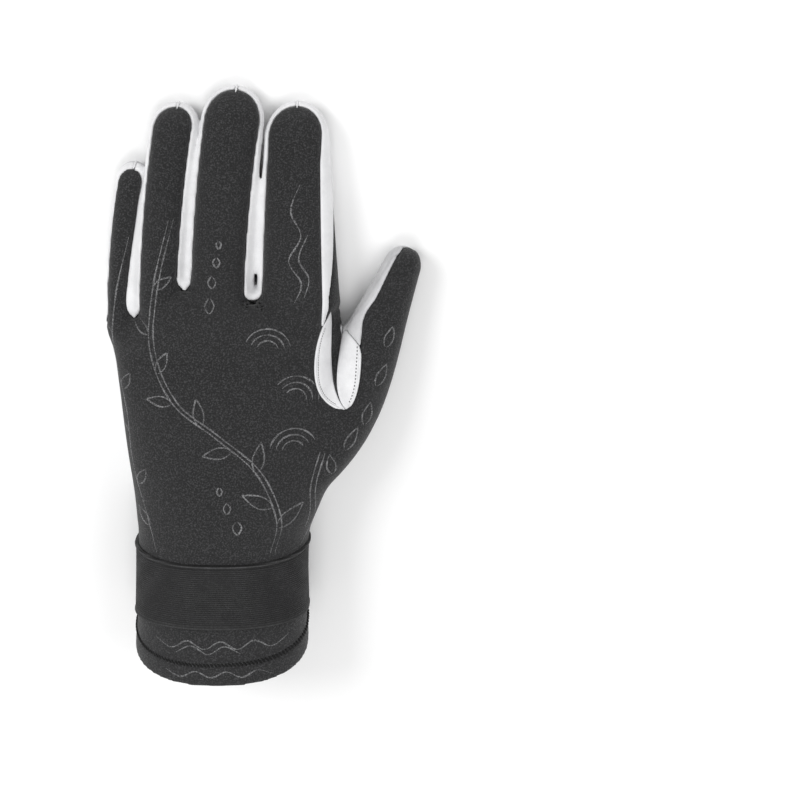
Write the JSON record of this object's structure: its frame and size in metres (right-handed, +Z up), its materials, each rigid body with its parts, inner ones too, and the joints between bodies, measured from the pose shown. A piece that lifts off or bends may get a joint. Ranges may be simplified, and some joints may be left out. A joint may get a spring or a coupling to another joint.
{
  "type": "diving glove",
  "caption": "Left-hand diving glove: black neoprene back and cuff, white synthetic leather palm and finger sides, elastic wrist strap with a hook tab.",
  "frame": {"origin": "middle of the glove's footprint on the surface it lies on", "axes": "+X towards the thumb's side, +Y towards the fingertips, +Z up out of the back of the hand"},
  "size_m": [0.1308, 0.2446, 0.0506],
  "materials": {
    "neoprene": "matte knit with fine ribs and tiny glints",
    "suede": "soft synthetic suede",
    "elastic": "ribbed elastic webbing",
    "hook_tape": "woven hook tape"
  },
  "bodies": {
    "root": {"back_panel": "neoprene", "cuff_front": "neoprene", "web_gusset": "neoprene", "palm_heel": "suede", "palm_front": "suede", "thumb_front": "suede", "index_side_strip": "suede", "fourchette_middle_index": "suede", "fourchette_ring_middle": "suede", "fourchette_little_ring": "suede", "little_side_strip": "suede", "index_web_patch": "suede", "thumb_web_patch": "suede", "wrist_strap": "elastic", "hook_tab": "hook_tape"}
  },
  "joints": []
}
